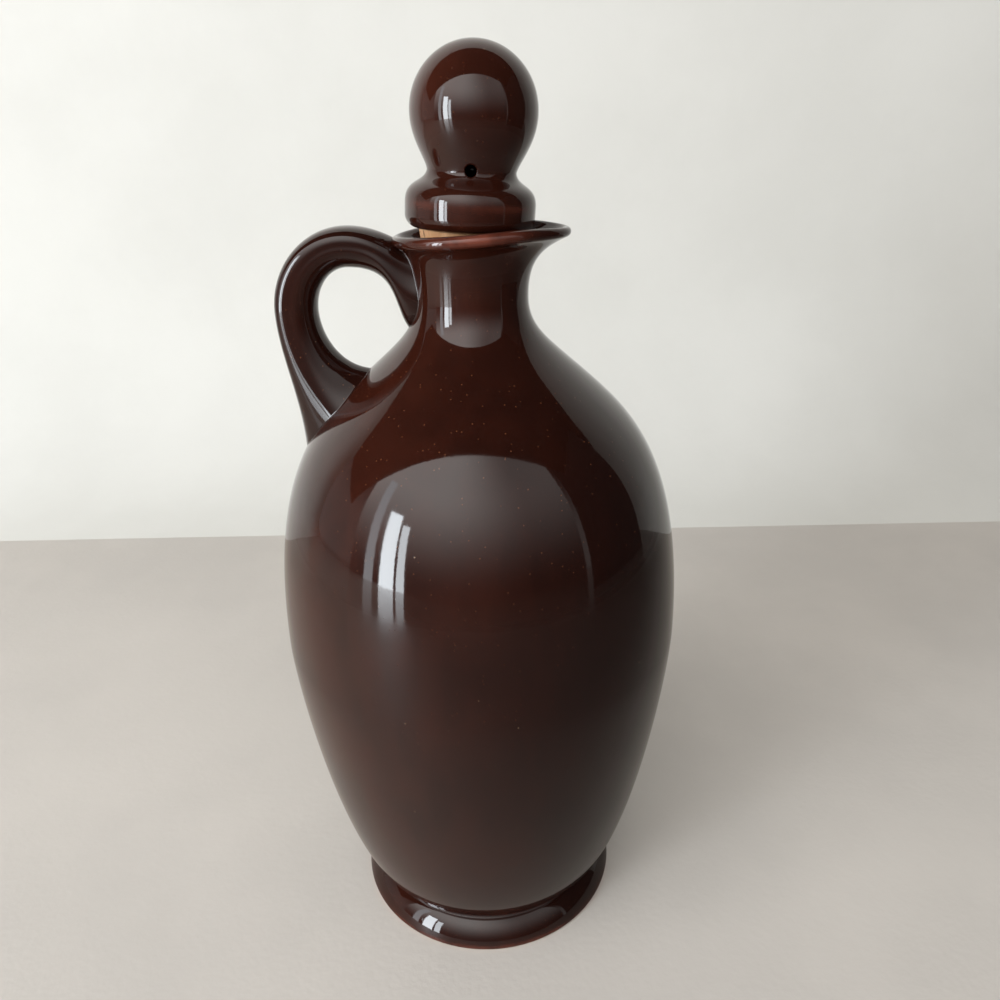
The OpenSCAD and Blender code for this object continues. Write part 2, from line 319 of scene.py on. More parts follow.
def arc(centre, r, start, end, steps=EDGE_STEPS):
    """Points of a round edge."""
    angle = np.radians(np.linspace(start, end, steps + 1))
    return np.asarray(centre) + r * np.column_stack([np.cos(angle), np.sin(angle)])


def softened(before, corner, after, reach, steps=EDGE_STEPS):
    """Points that round off a corner between two neighbouring points."""
    before, corner, after = (np.asarray(p, float) for p in (before, corner, after))
    start = corner + reach * (before - corner) / np.linalg.norm(before - corner)
    end = corner + reach * (after - corner) / np.linalg.norm(after - corner)
    t = np.linspace(0, 1, steps + 1)[:, None]
    return (1 - t) ** 2 * start + 2 * t * (1 - t) * corner + t**2 * end


def inset(points, depth):
    """An outline moved towards its axis."""
    along = np.gradient(points, axis=0)
    along /= np.linalg.norm(along, axis=1)[:, None]
    return points + depth * np.column_stack([-along[:, 1], along[:, 0]])


def smooth(value, low, high):
    """Share from 0 to 1 of the way between two values, eased at both ends."""
    t = np.clip((value - low) / (high - low), 0, 1)
    return t * t * (3 - 2 * t)


def turned(outline, angles):
    """Grid of points of an outline turned round the upright axis: rows along it, columns round it."""
    r = outline[:, :1]
    z = np.repeat(outline[:, 1:], len(angles), axis=1)
    return np.dstack([r * np.cos(angles), r * np.sin(angles), z])


def grid_faces(rows, columns, closed=True):
    """Quads of a grid, whose last column joins its first where it is closed."""
    k, i = np.meshgrid(np.arange(rows - 1), np.arange(columns if closed else columns - 1), indexing="ij")
    a = k * columns + i
    b = k * columns + (i + 1) % columns
    return np.stack([a, b, b + columns, a + columns], axis=-1).reshape(-1, 4).tolist()


def closed_skin(grid):
    """Points and faces of a grid closed by a fan round a middle point at each end."""
    rows, columns = grid.shape[:2]
    points = np.vstack([grid.reshape(-1, 3), grid[0].mean(axis=0), grid[-1].mean(axis=0)])
    faces = grid_faces(rows, columns)
    first, last = rows * columns, rows * columns + 1
    top = (rows - 1) * columns
    for i in range(columns):
        j = (i + 1) % columns
        faces.append([first, j, i])
        faces.append([last, top + i, top + j])
    return points, faces


def make_piece(name, points, faces, material, marks=None):
    """Smooth mesh piece from points in millimetres, with marks for its material at each point."""
    mesh = bpy.data.meshes.new(name)
    mesh.from_pydata((points * MM).tolist(), [], faces)
    for mark, values in (marks or {}).items():
        attribute = mesh.attributes.new(mark, "FLOAT", "POINT")
        attribute.data.foreach_set("value", np.asarray(values, np.float32))
    mesh.materials.append(material)
    mesh.validate()
    mesh.shade_smooth()
    piece = bpy.data.objects.new(name, mesh)
    bpy.context.scene.collection.objects.link(piece)
    return piece


# Node helpers for the materials


def empty_material(name):
    """Material whose node tree holds only its output."""
    material = bpy.data.materials.new(name)
    material.use_nodes = True
    tree = material.node_tree
    tree.nodes.clear()
    return material, tree, tree.nodes.new("ShaderNodeOutputMaterial")


def new_material(name):
    """Material with its node tree, its main shader and its object coordinates."""
    material, tree, output = empty_material(name)
    shader = tree.nodes.new("ShaderNodeBsdfPrincipled")
    tree.links.new(shader.outputs["BSDF"], output.inputs["Surface"])
    place = tree.nodes.new("ShaderNodeTexCoord").outputs["Object"]
    return material, tree, shader, place


def axis_values(tree, place):
    """Sockets of a place's X, Y and Z."""
    split = tree.nodes.new("ShaderNodeSeparateXYZ")
    tree.links.new(place, split.inputs["Vector"])
    return split.outputs


def stretched(tree, place, scale, turn=(0, 0, 0)):
    """Coordinates scaled along each axis, after a turn in degrees."""
    mapping = tree.nodes.new("ShaderNodeMapping")
    mapping.inputs["Scale"].default_value = scale
    mapping.inputs["Rotation"].default_value = [math.radians(a) for a in turn]
    tree.links.new(place, mapping.inputs["Vector"])
    return mapping.outputs["Vector"]


def noise(tree, place, scale, detail=3, roughness=0.5):
    """Cloudy noise from 0 to 1, with scale in cells per metre."""
    made = tree.nodes.new("ShaderNodeTexNoise")
    made.inputs["Scale"].default_value = scale
    made.inputs["Detail"].default_value = detail
    made.inputs["Roughness"].default_value = roughness
    tree.links.new(place, made.inputs["Vector"])
    return made.outputs["Fac"]


def ranged(tree, value, low, high, to_low=0, to_high=1):
    """A value carried from one range to another, smoothly and with ends."""
    made = tree.nodes.new("ShaderNodeMapRange")
    made.interpolation_type = "SMOOTHSTEP"
    made.inputs["From Min"].default_value = low
    made.inputs["From Max"].default_value = high
    made.inputs["To Min"].default_value = to_low
    made.inputs["To Max"].default_value = to_high
    tree.links.new(value, made.inputs["Value"])
    return made.outputs["Result"]


def math_node(tree, operation, a, b):
    """Result of an operation on two values, of which either may be a number."""
    made = tree.nodes.new("ShaderNodeMath")
    made.operation = operation
    for socket, value in zip(made.inputs, (a, b)):
        if isinstance(value, (int, float)):
            socket.default_value = value
        else:
            tree.links.new(value, socket)
    return made.outputs["Value"]


def product(tree, a, b):
    """Product of two values."""
    return math_node(tree, "MULTIPLY", a, b)


def total(tree, a, b):
    """Sum of two values."""
    return math_node(tree, "ADD", a, b)


def mixed(tree, share, a, b):
    """Mix of two colours, each a colour or a socket."""
    made = tree.nodes.new("ShaderNodeMix")
    made.data_type = "RGBA"
    tree.links.new(share, made.inputs["Factor"])
    for socket, value in ((made.inputs[6], a), (made.inputs[7], b)):
        if isinstance(value, tuple):
            socket.default_value = (*value, 1)
        else:
            tree.links.new(value, socket)
    return made.outputs[2]


def mark(tree, name):
    """Value that a piece's points carry for its material."""
    made = tree.nodes.new("ShaderNodeAttribute")
    made.attribute_name = name
    return made.outputs["Fac"]


def bumped(tree, height, distance, before=None):
    """Normal raised by a height, with distance in metres for a height of 1."""
    made = tree.nodes.new("ShaderNodeBump")
    made.inputs["Strength"].default_value = 1
    made.inputs["Distance"].default_value = distance
    tree.links.new(height, made.inputs["Height"])
    if before is not None:
        tree.links.new(before, made.inputs["Normal"])
    return made.outputs["Normal"]


def specks(tree, place, scale, radius, share):
    """Sparse round spots: 1 in the middle of a spot, 0 between them."""
    cells = tree.nodes.new("ShaderNodeTexVoronoi")
    cells.inputs["Scale"].default_value = scale
    tree.links.new(place, cells.inputs["Vector"])
    spot = ranged(tree, cells.outputs["Distance"], radius, radius * SPOT_CORE)
    split = tree.nodes.new("ShaderNodeSeparateColor")
    tree.links.new(cells.outputs["Color"], split.inputs["Color"])
    chosen = math_node(tree, "LESS_THAN", split.outputs["Red"], share)
    return product(tree, spot, chosen)


# Materials
# A noise is given as scale per metre, detail and roughness
# A range is given as the values between which it changes and, unless 0 and 1, the values it takes there
# Spots are given as cells per metre, radius in cells, and share of the cells that hold one
# Heights of relief are in metres

# Share of a spot's radius over which it is full
SPOT_CORE = 0.4

# Glaze: colours
GLAZE_DEEP = (0.0062, 0.0019, 0.0014)
GLAZE_WARM = (0.043, 0.0097, 0.005)
GLAZE_THIN = (0.165, 0.044, 0.027)
GLAZE_SPECK = (0.26, 0.17, 0.1)
GLAZE_DOT = (0.16, 0.06, 0.026)
CLAY_PALE = (0.46, 0.33, 0.22)
CLAY_DARK = (0.34, 0.22, 0.14)
# Cloud and upright runs, and their shares of the tone on top of an even part
CLOUD_NOISE = (38, 4)
CLOUD_RANGE = (0.34, 0.68)
RUNS_STRETCH = (210, 210, 26)
RUNS_NOISE = (1, 3)
RUNS_RANGE = (0.4, 0.7)
TONE_CLOUD = 0.26
TONE_RUNS = 0.14
TONE_EVEN = 0.3
# Painted light and shade on the glaze: its warm share is painted lighter to the left, where the light
# falls, and darker towards the right and the spout, in shade; it also grows warmer up the neck and knob,
# and the handle takes less of it: ranges of the warmth across and up, in metres, and its share on the
# handle
PAINTED_LIGHT_ACROSS = (-0.05, 0.04, 1.4, 0.2)
WARM_UP = (0.15, 0.18, 0, 0.45)
WARM_HANDLE = 0.35
# Pale specks, and fine dots that are densest on the shoulder: spots, and how strongly they show
SPECKS = (250, 0.05, 0.12)
SPECKS_SHOW = 0.75
DOTS = (900, 0.18, 0.25)
DOTS_SHOW = 0.7
DOTS_UP = (0.105, 0.14, 0.25, 1)
DOTS_END = (0.15, 0.175, 1, 0.3)
# Patches where thin glaze shows
PATCH_NOISE = (160, 3)
PATCH_RANGE = (0.3, 0.62, 0.25, 1)
# Bare clay: its grit, and how ragged and how sharp its edge is
GRIT_NOISE = (900, 4, 0.7)
RAGGED = 0.12
BARE_RANGE = (0.42, 0.58)
# Roughness: haze of the gloss, and what scratches and bare clay add
HAZE_NOISE = (55, 5, 0.6)
HAZE_RANGE = (0.35, 0.75, 0.035, 0.085)
SCRATCH_STRETCH = (900, 900, 22)
SCRATCH_TURN = (31, 24, 0)
SCRATCH_NOISE = (1, 2)
SCRATCH_RANGE = (0.7, 0.76)
SCRATCH_ROUGH = 0.1
CLAY_ROUGH = 0.75
GLAZE_IOR = 1.5
# Relief: slow waves, orange peel, specks and grit
WAVE_NOISE = (52, 1)
WAVE_H = 0.00011
PEEL_NOISE = (720, 2)
PEEL_H = 0.0000035
SPECK_H = 0.00004
GRIT_H = 0.00012

# Cork: colours, grain and cloud with their shares of the tone, pores, roughness and relief
CORK_PALE = (0.8, 0.47, 0.25)
CORK_DARK = (0.61, 0.31, 0.145)
CORK_PIT = (0.12, 0.045, 0.018)
GRAIN_STRETCH = (700, 700, 120)
GRAIN_NOISE = (1, 5, 0.6)
GRAIN_SHARE = 0.55
CORK_CLOUD_NOISE = (240, 4)
CORK_CLOUD_SHARE = 0.45
CORK_RANGE = (0.36, 0.64)
PORES = (520, 0.3, 0.2)
PORES_STRETCH = (1, 1, 0.34)
SMALL_PORES = (1300, 0.3, 0.2)
PORES_SHOW = 0.8
CORK_ROUGH = (0.3, 0.7, 0.72, 0.92)
GRAIN_H = 0.0001
PORE_H = 0.00018

# Stage: colours, then roughness and scale of the grit of floor, backdrop and flags
FLOOR_PALE = (0.62, 0.58, 0.54)
FLOOR_GREY = (0.57, 0.535, 0.5)
WALL_PALE = (0.72, 0.71, 0.675)
WALL_GREY = (0.685, 0.675, 0.64)
# Sheet seen only in reflections: painted shade in front and to the right, pale behind
SHEET_DARK = (0.13, 0.12, 0.11)
SHEET_PALE = (0.46, 0.42, 0.375)
FLAG_BLACK = (0.025, 0.024, 0.023)
FLOOR_ROUGH = 0.42
FLOOR_GRIT = 420
WALL_ROUGH = 0.8
WALL_GRIT = 130
FLAG_ROUGH = 0.9
FLAG_GRIT = 130
# Faint cloud, duller patches and grit of all three
STAGE_CLOUD_NOISE = (7, 5, 0.6)
STAGE_CLOUD_RANGE = (0.35, 0.65)
DULL_NOISE = (60, 3)
DULL_RANGE = (0.3, 0.7)
DULLER = 0.08
STAGE_GRIT_DETAIL = 3
STAGE_GRIT_H = 0.00008


def glaze_tone(tree, place, axes, cloud):
    """Share of the warm colour: cloudy with upright runs, plus painted light that is lighter to the left
    and darker to the right, warmer higher up, and less on the handle.
    """
    runs = ranged(tree, noise(tree, stretched(tree, place, RUNS_STRETCH), *RUNS_NOISE), *RUNS_RANGE)
    tone = total(tree, product(tree, cloud, TONE_CLOUD), product(tree, runs, TONE_RUNS))
    # Painted light and shade: lighter to the left, darker to the right, and warmer higher up
    warmth = total(tree, ranged(tree, axes["X"], *PAINTED_LIGHT_ACROSS), ranged(tree, axes["Z"], *WARM_UP))
    handle_less_painted_light = ranged(tree, mark(tree, "handle_less_painted_light"), 0, 1, 1, WARM_HANDLE)
    return product(tree, total(tree, tone, TONE_EVEN), product(tree, warmth, handle_less_painted_light))


def glaze_colour(tree, place, cloud, spots):
    """Colour of the glaze: deep to warm brown with painted light and shade across it, with specks and
    dots, and reddish where it is thin.
    """
    axes = axis_values(tree, place)
    colour = mixed(tree, glaze_tone(tree, place, axes, cloud), GLAZE_DEEP, GLAZE_WARM)
    colour = mixed(tree, product(tree, spots, SPECKS_SHOW), colour, GLAZE_SPECK)
    dotted = product(tree, ranged(tree, axes["Z"], *DOTS_UP), ranged(tree, axes["Z"], *DOTS_END))
    dots = product(tree, specks(tree, place, *DOTS), dotted)
    colour = mixed(tree, product(tree, dots, DOTS_SHOW), colour, GLAZE_DOT)
    patchy = ranged(tree, noise(tree, place, *PATCH_NOISE), *PATCH_RANGE)
    return mixed(tree, product(tree, mark(tree, "thin"), patchy), colour, GLAZE_THIN)


def glaze_roughness(tree, place, bare):
    """Roughness of the hazy gloss, with fine scratches, and of the bare clay."""
    lines = stretched(tree, place, SCRATCH_STRETCH, SCRATCH_TURN)
    scratches = ranged(tree, noise(tree, lines, *SCRATCH_NOISE), *SCRATCH_RANGE)
    haze = ranged(tree, noise(tree, place, *HAZE_NOISE), *HAZE_RANGE)
    gloss = total(tree, haze, product(tree, scratches, SCRATCH_ROUGH))
    return total(tree, gloss, product(tree, bare, CLAY_ROUGH))


def glaze_material():
    """Dark brown glaze: reddish where it runs thin, bare clay where it is wiped off."""
    material, tree, shader, place = new_material("glaze")
    cloud = ranged(tree, noise(tree, place, *CLOUD_NOISE), *CLOUD_RANGE)
    spots = specks(tree, place, *SPECKS)
    grit = noise(tree, place, *GRIT_NOISE)
    ragged = total(tree, mark(tree, "bare"), ranged(tree, cloud, 0, 1, -RAGGED, RAGGED))
    bare = ranged(tree, ragged, *BARE_RANGE)
    clay = mixed(tree, grit, CLAY_DARK, CLAY_PALE)
    colour = mixed(tree, bare, glaze_colour(tree, place, cloud, spots), clay)
    tree.links.new(colour, shader.inputs["Base Color"])
    tree.links.new(glaze_roughness(tree, place, bare), shader.inputs["Roughness"])
    shader.inputs["IOR"].default_value = GLAZE_IOR
    waves = bumped(tree, noise(tree, place, *WAVE_NOISE), WAVE_H)
    peel = bumped(tree, noise(tree, place, *PEEL_NOISE), PEEL_H, waves)
    raised = bumped(tree, spots, SPECK_H, peel)
    rough_clay = bumped(tree, product(tree, grit, bare), GRIT_H, raised)
    tree.links.new(rough_clay, shader.inputs["Normal"])
    return material


def cork_material():
    """Natural cork: tan, with upright grain, dark pores and a dry surface."""
    material, tree, shader, place = new_material("cork")
    grain = noise(tree, stretched(tree, place, GRAIN_STRETCH), *GRAIN_NOISE)
    cloud = noise(tree, place, *CORK_CLOUD_NOISE)
    tone = total(tree, product(tree, grain, GRAIN_SHARE), product(tree, cloud, CORK_CLOUD_SHARE))
    colour = mixed(tree, ranged(tree, tone, *CORK_RANGE), CORK_DARK, CORK_PALE)
    pores = specks(tree, stretched(tree, place, PORES_STRETCH), *PORES)
    pits = math_node(tree, "MAXIMUM", pores, specks(tree, place, *SMALL_PORES))
    colour = mixed(tree, product(tree, pits, PORES_SHOW), colour, CORK_PIT)
    tree.links.new(colour, shader.inputs["Base Color"])
    tree.links.new(ranged(tree, tone, *CORK_ROUGH), shader.inputs["Roughness"])
    raised = bumped(tree, grain, GRAIN_H)
    sunk = bumped(tree, math_node(tree, "SUBTRACT", 1, pits), PORE_H, raised)
    tree.links.new(sunk, shader.inputs["Normal"])
    return material


def stage_material(name, pale, grey, roughness, grit):
    """Plain surface with a faint cloud in it, duller patches and fine grit."""
    material, tree, shader, place = new_material(name)
    cloud = ranged(tree, noise(tree, place, *STAGE_CLOUD_NOISE), *STAGE_CLOUD_RANGE)
    tree.links.new(mixed(tree, cloud, grey, pale), shader.inputs["Base Color"])
    dull = ranged(tree, noise(tree, place, *DULL_NOISE), *DULL_RANGE, roughness, roughness + DULLER)
    tree.links.new(dull, shader.inputs["Roughness"])
    relief = bumped(tree, noise(tree, place, grit, STAGE_GRIT_DETAIL), STAGE_GRIT_H)
    tree.links.new(relief, shader.inputs["Normal"])
    return material


def sheet_material():
    """Sheet with painted shade: pale behind the object, dark in front and to the right where the floor
    lies in shade, polished further away.
    """
    material, tree, shader, place = new_material("painted_shade_sheet")
    axes = axis_values(tree, place)
    across = product(tree, axes["X"], SHEET_SHIFT)
    fade = ranged(tree, total(tree, axes["Y"], across), *SHEET_FADE)
    tree.links.new(mixed(tree, fade, SHEET_DARK, SHEET_PALE), shader.inputs["Base Color"])
    away = tree.nodes.new("ShaderNodeVectorMath")
    away.operation = "LENGTH"
    tree.links.new(place, away.inputs[0])
    polish = ranged(tree, away.outputs["Value"], *SHEET_POLISH)
    tree.links.new(polish, shader.inputs["Roughness"])
    return material


def light_material(name, colour, strength):
    """Light of a softbox, as strong at each point as its glow says."""
    material, tree, output = empty_material(name)
    emission = tree.nodes.new("ShaderNodeEmission")
    emission.inputs["Color"].default_value = (*colour, 1)
    tree.links.new(product(tree, mark(tree, "glow"), strength), emission.inputs["Strength"])
    tree.links.new(emission.outputs["Emission"], output.inputs["Surface"])
    return material


# Outlines of the vessel

FLANK_LEAN = direction(FLANK_ANGLE)
SHOULDER_LEAN = direction(-SHOULDER_ANGLE)
CREASE = np.array([CREASE_R, CREASE_Z])
WIDEST = np.array([BELLY_R, BELLY_Z])
TURNING = np.array([SHOULDER_R, SHOULDER_Z])
NARROWEST = np.array([NECK_R, NECK_Z])
BODY = np.vstack([
    [CREASE],
    curve(CREASE, CREASE + FLANK_LOW * FLANK_LEAN, WIDEST - [0, FLANK_HIGH], WIDEST),
    curve(WIDEST, WIDEST + [0, SHOULDER_LOW], TURNING - SHOULDER_HIGH * SHOULDER_LEAN, TURNING),
    curve(TURNING, TURNING + NECK_LOW * SHOULDER_LEAN, NARROWEST - [0, NECK_HIGH], NARROWEST),
])


def throat_r(z):
    """Radius of the neck's bore at a height, a clearance wider than the cork."""
    return cork_r(z) + CORK_GAP


def cork_r(z):
    """Radius of the cork at a height."""
    return CORK_TIP_R + (CORK_TOP_R - CORK_TIP_R) * (z - TIP_Z) / CORK_H


def pull(angle):
    """Share of the spout's pull at an angle from the spout, in degrees."""
    return math.exp(-((angle / SPOUT_SPREAD) ** 2))


def lip_section(angle):
    """Outline of the lip at an angle, and how thin the glaze is on it: flare, rolled rim, funnel."""
    share = pull(angle)
    reach = LIP_R + (SPOUT_R - LIP_R) * share
    edge_r = BEAD_R + (END_BEAD_R - BEAD_R) * (share + pull(180 - abs(angle)))
    out = reach - edge_r
    tilt = out * math.cos(math.radians(angle)) * math.tan(math.radians(LIP_TILT))
    centre = np.array([out, LIP_Z - SPOUT_DROP * share + tilt])
    bead = arc(centre, edge_r, BEAD_FROM, BEAD_TO, 2 * EDGE_STEPS)
    under = bead[0] - FLARE_PULL * (reach - NECK_R) * direction(-BEAD_FROM)
    over = bead[-1] + FUNNEL_RIM_ARM * direction(-BEAD_TO)
    end = np.array([throat_r(MOUTH_Z), MOUTH_Z])
    flare = curve(NARROWEST, NARROWEST + [0, FLARE_RISE], under, bead[0], FLARE_STEPS)
    funnel = curve(bead[-1], over, end + FUNNEL_THROAT_ARM, end, EDGE_STEPS)
    turn = np.linspace(BEAD_FROM, BEAD_TO, len(bead))[1:]
    worn = math.exp(-(((abs(angle) - WORN_MIDDLE) / WORN_SPREAD) ** 2))
    edge = worn * np.exp(-((turn - WORN_TURN) / WORN_TURN_SPREAD) ** 2)
    thin = np.concatenate([np.zeros(len(flare)), edge, np.zeros(len(funnel))])
    return np.vstack([flare, bead[1:], funnel]), thin


def foot_outline():
    """Outline from the middle of the recess underneath, over the bare ring and the foot to the belly."""
    floor_z = CREASE_Z + WALL * math.sin(math.radians(FLANK_ANGLE)) - FLOOR_ROUND
    recess_h = floor_z - BASE_T
    land_r = FOOT_R - FOOT_ROUND - LAND_W
    corner = [land_r - RECESS_ROUND, recess_h - RECESS_ROUND]
    hollow = arc(corner, RECESS_ROUND, 90, 0)
    land = softened([land_r, recess_h], [land_r, 0], [FOOT_R, 0], LAND_ROUND)
    low_edge = arc([FOOT_R - FOOT_ROUND, FOOT_ROUND], FOOT_ROUND, -90, FACE_LOW_ANGLE)
    face = curve(low_edge[-1], low_edge[-1] + FACE_LOW_ARM * direction(-FACE_LOW_ANGLE),
                 CREASE - FACE_HIGH_ARM * direction(-FACE_HIGH_ANGLE), CREASE)
    face = face[np.linalg.norm(face - CREASE, axis=1) > CREASE_ROUND]
    crease = softened(face[-1], CREASE, BODY[2], CREASE_ROUND)
    outline = np.vstack([
        line([FAN_R, recess_h], [land_r - RECESS_ROUND, recess_h]), hollow[1:],
        land, line(land[-1], low_edge[0])[:-1], low_edge, face[:-1], crease,
    ])
    low = np.exp(-(np.maximum(outline[:, 1] - BARE_H, 0) / BARE_FADE) ** 2)
    return outline, low * (outline[:, 0] > land_r - BARE_IN)


def inside_outline():
    """Outline of the bore, the hollow belly and its floor, from the lip down to the middle."""
    hollow = inset(BODY, WALL)
    hollow = hollow[hollow[:, 0] > throat_r(hollow[:, 1])][::-1]
    floor_z = hollow[-1][1] - FLOOR_ROUND
    floor_edge = [hollow[-1][0] - FLOOR_ROUND, floor_z]
    start = np.array([throat_r(MOUTH_Z), MOUTH_Z])
    end = np.array([throat_r(hollow[0][1]), hollow[0][1]])
    corner = softened(hollow[-2], [hollow[-1][0] - FLOOR_DRAW, floor_z], [0, floor_z], FLOOR_ROUND)
    floor = line(floor_edge, [FAN_R, floor_z])
    return np.vstack([line(start, end, EDGE_STEPS), hollow[1:-1], corner, floor])


def unevenness(grid):
    """Grid with the slight waves of a hand-finished wall, drawn in towards the axis."""
    angle = np.arctan2(grid[..., 1], grid[..., 0])
    z = grid[..., 2]
    wave = sum(np.sin(count * angle + shift + z / rise) for count, rise, shift in WAVES)
    depth = UNEVEN * (len(WAVES) - wave) / (2 * len(WAVES))
    drawn = 1 - depth / np.maximum(np.hypot(grid[..., 0], grid[..., 1]), 1)
    grid = grid.copy()
    grid[..., :2] *= drawn[..., None]
    return grid


def make_vessel(material):
    """The pot: foot, belly, neck, lip with its spout, and the hollow inside, as one closed skin."""
    degrees = np.arange(SIDES) * 360 / SIDES
    angles = np.radians(degrees)
    foot, bare = foot_outline()
    sections = [lip_section(a - 360 if a > 180 else a) for a in degrees]
    lip = np.array([points for points, thin in sections]).transpose(1, 0, 2)
    lip_grid = np.dstack([lip[..., 0] * np.cos(angles), lip[..., 0] * np.sin(angles), lip[..., 1]])
    lip_thin = np.array([thin for points, thin in sections]).T
    body_grid = turned(BODY[2:], angles)
    outside = np.vstack([turned(foot, angles), body_grid, lip_grid])
    inside = turned(inside_outline(), angles)
    grid = np.vstack([unevenness(outside), inside])
    edge = np.hypot(foot[:, 0] - FOOT_R, foot[:, 1] - FOOT_THIN_Z)
    foot_thin = FOOT_THIN * np.exp(-((edge / FOOT_THIN_SPREAD) ** 2))
    rows = [foot_thin[:, None].repeat(SIDES, 1), np.zeros(body_grid.shape[:2]), lip_thin]
    thin = np.vstack(rows + [np.zeros(inside.shape[:2])])
    thin = np.append(thin.ravel(), [0, 0])
    bare = np.pad(bare, (0, len(grid) - len(bare)))[:, None].repeat(SIDES, 1)
    bare = np.append(bare.ravel(), [0, 0])
    points, faces = closed_skin(grid)
    return make_piece("decanter_vessel", points, faces, material, {"thin": thin, "bare": bare})


# Handle


def body_r(z):
    """Radius of the vessel's outside at a height, on the handle's side."""
    return np.interp(z, WALL_LINE[:, 1], WALL_LINE[:, 0])


def wall_distance(points):
    """How far points stand off the vessel's outside, and the step that leads straight off it."""
    r = np.hypot(points[..., 0], points[..., 1])
    z = points[..., 2]
    slope = (body_r(z + SLOPE_STEP) - body_r(z - SLOPE_STEP)) / (2 * SLOPE_STEP)
    steep = 1 / np.sqrt(1 + slope**2)
    off = np.stack([points[..., 0] / r * steep, points[..., 1] / r * steep, -slope * steep], axis=-1)
    return (r - body_r(z)) * steep, off


FLARE = lip_section(180)[0][:FLARE_STEPS]
WALL_LINE = np.vstack([BODY, FLARE])
NECK_OUT = np.array([NECK_R - TUCK_DEPTH, LIP_Z - HANDLE_TUCK])
NECK_IN = np.array([body_r(DROP_Z) - NECK_DEPTH, DROP_Z])
FOOT_OUT = np.array([body_r(HANDLE_FOOT_Z) - FOOT_DEPTH, HANDLE_FOOT_Z])
FOOT_IN = np.array([body_r(CROTCH_Z) - CROTCH_DEPTH, CROTCH_Z])
TOP_IN = HANDLE_TOP - [0, HANDLE_TOP_T]
SIDE_IN = HANDLE_SIDE - [HANDLE_SIDE_T, 0]


def quarter(a, b):
    """End and pull points of a quarter of an oval that starts level and ends upright."""
    across, up = b - a
    return a, a + [OVAL * across, 0], b - [0, OVAL * up], b


# Spans of the handle's two edges: neck to top, top to side, side to shoulder
OUTER_SPANS = [
    (NECK_OUT, NECK_OUT + NECK_OUT_PULL, HANDLE_TOP + TOP_OUT_PULL, HANDLE_TOP),
    quarter(HANDLE_TOP, HANDLE_SIDE),
    (HANDLE_SIDE, HANDLE_SIDE + SIDE_OUT_PULL, FOOT_OUT + FOOT_OUT_PULL, FOOT_OUT),
]
INNER_SPANS = [
    (NECK_IN, NECK_IN + NECK_IN_PULL, TOP_IN + TOP_IN_PULL, TOP_IN),
    quarter(TOP_IN, SIDE_IN),
    (SIDE_IN, SIDE_IN + SIDE_IN_PULL, FOOT_IN + FOOT_IN_PULL, FOOT_IN),
]


def on_spans(spans, u):
    """Point at u along three spans: 0 at the neck, 1 at the top, 2 at the side, 3 on the shoulder."""
    pieces = [bend(*span, u - k) for k, span in enumerate(spans)]
    span = np.clip(np.floor(u), 0, len(spans) - 1).astype(int)
    return np.choose(span[..., None], pieces)


def eased(values, u):
    """Value at u along the handle, eased between the values at the neck, top, side and shoulder."""
    span = np.clip(np.floor(u), 0, len(values) - 2).astype(int)
    t = np.clip(u - span, 0, 1)
    values = np.asarray(values, float)
    return values[span] + (values[span + 1] - values[span]) * t * t * (3 - 2 * t)


def strap(u, a):
    """Points of the handle's skin at u along it and at angle a round its section."""
    inner, outer = on_spans(INNER_SPANS, u), on_spans(OUTER_SPANS, u)
    c = np.cos(a)
    flat, side_flat = (np.where(c > 0, eased(values, u), ROUND) for values in (BROAD_FLAT, OUTER_FLAT))
    s = np.sign(np.sin(a)) * np.maximum(1 - np.abs(c) ** flat, 0) ** (1 / side_flat)
    past = c - eased(FALL_STARTS, u)
    half_depth = np.linalg.norm(outer - inner, axis=-1) / 2
    fall = eased(FALL_SLOPES, u) * half_depth * (past + np.hypot(past, FALL_SOFT)) / 2
    flare = ROOT_FLARE * np.maximum(u - SIDE_U, 0) ** 2 * smooth(c, *ROOT_REACH)
    across = (c - eased(GROOVE_PLACES, u)) / eased(GROOVE_WIDTHS, u)
    groove = eased(GROOVE_DEPTHS, u) * np.exp(-(across**2))
    half_width = eased(HALF_WIDTHS, u) + flare - groove - fall
    p = (inner + outer) / 2 + c[..., None] * (outer - inner) / 2
    return np.stack([-p[..., 0], s * half_width, p[..., 1]], axis=-1)


def free_stretch(a):
    """For each angle round the section, the stretch of u over which the skin stands off the vessel."""
    u = np.linspace(*STRAP_ENDS, STRAP_STEPS)
    spread = np.broadcast_to(u[:, None], (len(u), len(a)))
    off = wall_distance(strap(spread, np.broadcast_to(a, spread.shape)))[0] > 0
    first = off.argmax(axis=0)
    last = len(u) - 1 - off[::-1].argmax(axis=0)
    return u[first], u[last]


def pressed_on(grid):
    """Rings of the strap with a bead of slip on the vessel, and with a buried ring at each end."""
    along = np.gradient(grid, axis=0)
    round_it = np.roll(grid, -1, axis=1) - np.roll(grid, 1, axis=1)
    normal = np.cross(along, round_it)
    normal /= np.maximum(np.linalg.norm(normal, axis=2), TINY)[..., None]
    normal *= np.sign((normal * (grid - grid.mean(axis=1, keepdims=True))).sum())
    gap, off = wall_distance(grid)
    near = np.clip(1 - gap / SLIP_ROUND, 0, 1)
    flare = SLIP_ROUND * (1 - np.sqrt(1 - near**2))
    sideways = normal - (normal * off).sum(axis=2, keepdims=True) * off
    grid = grid + flare[..., None] * sideways
    moved, off = wall_distance(grid)
    sunk = moved - gap + SLIP_BURIED * near
    grid = grid - np.where(near > 0, sunk, 0)[..., None] * off
    return np.concatenate([grid[:1] - off[:1], grid, grid[-1:] - off[-1:]])


